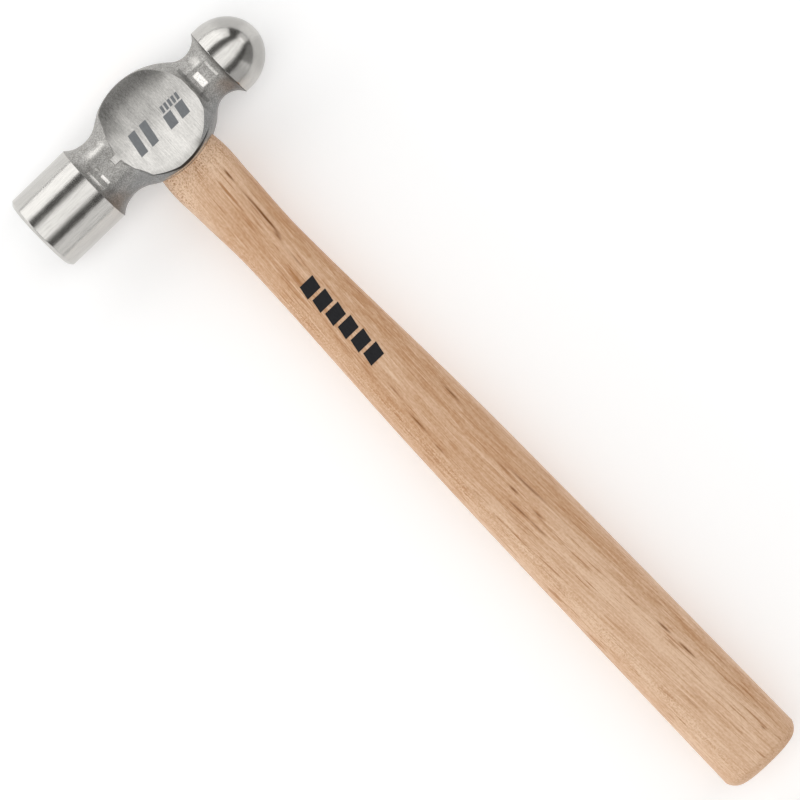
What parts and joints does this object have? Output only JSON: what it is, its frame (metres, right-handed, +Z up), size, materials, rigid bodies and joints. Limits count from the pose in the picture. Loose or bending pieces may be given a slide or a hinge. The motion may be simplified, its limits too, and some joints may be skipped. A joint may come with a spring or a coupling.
{
  "type": "ball peen hammer",
  "caption": "Ball peen hammer: forged steel head with a flat striking face and a ball peen, wedged on a flared wooden handle, lying on its side.",
  "frame": {"origin": "bottom centre of the box round the whole hammer as it lies on its side: half way along the handle and the head, at the height of the poll's lowest line", "axes": "+X along the head towards the ball peen, +Y along the handle from the butt up to the head, +Z up out of the upper, marked cheek"},
  "size_m": [0.1032, 0.3242, 0.0307],
  "materials": {
    "head_steel": "sand-blasted satin on the forged necks and cheek rims; polished poll and ball; straight-ground cheeks",
    "handle_wood": "light hickory under a thin satin lacquer, with long brown grain streaks and short open pores",
    "wedge_wood": "bare darker hardwood",
    "wedge_steel": "bare rolled steel",
    "mark_ink": "thin flat pad-printed ink"
  },
  "bodies": {
    "root": {"head": "head_steel", "handle": "handle_wood", "wooden_wedge": "wedge_wood", "steel_wedge_poll": "wedge_steel", "steel_wedge_peen": "wedge_steel"}
  },
  "joints": []
}
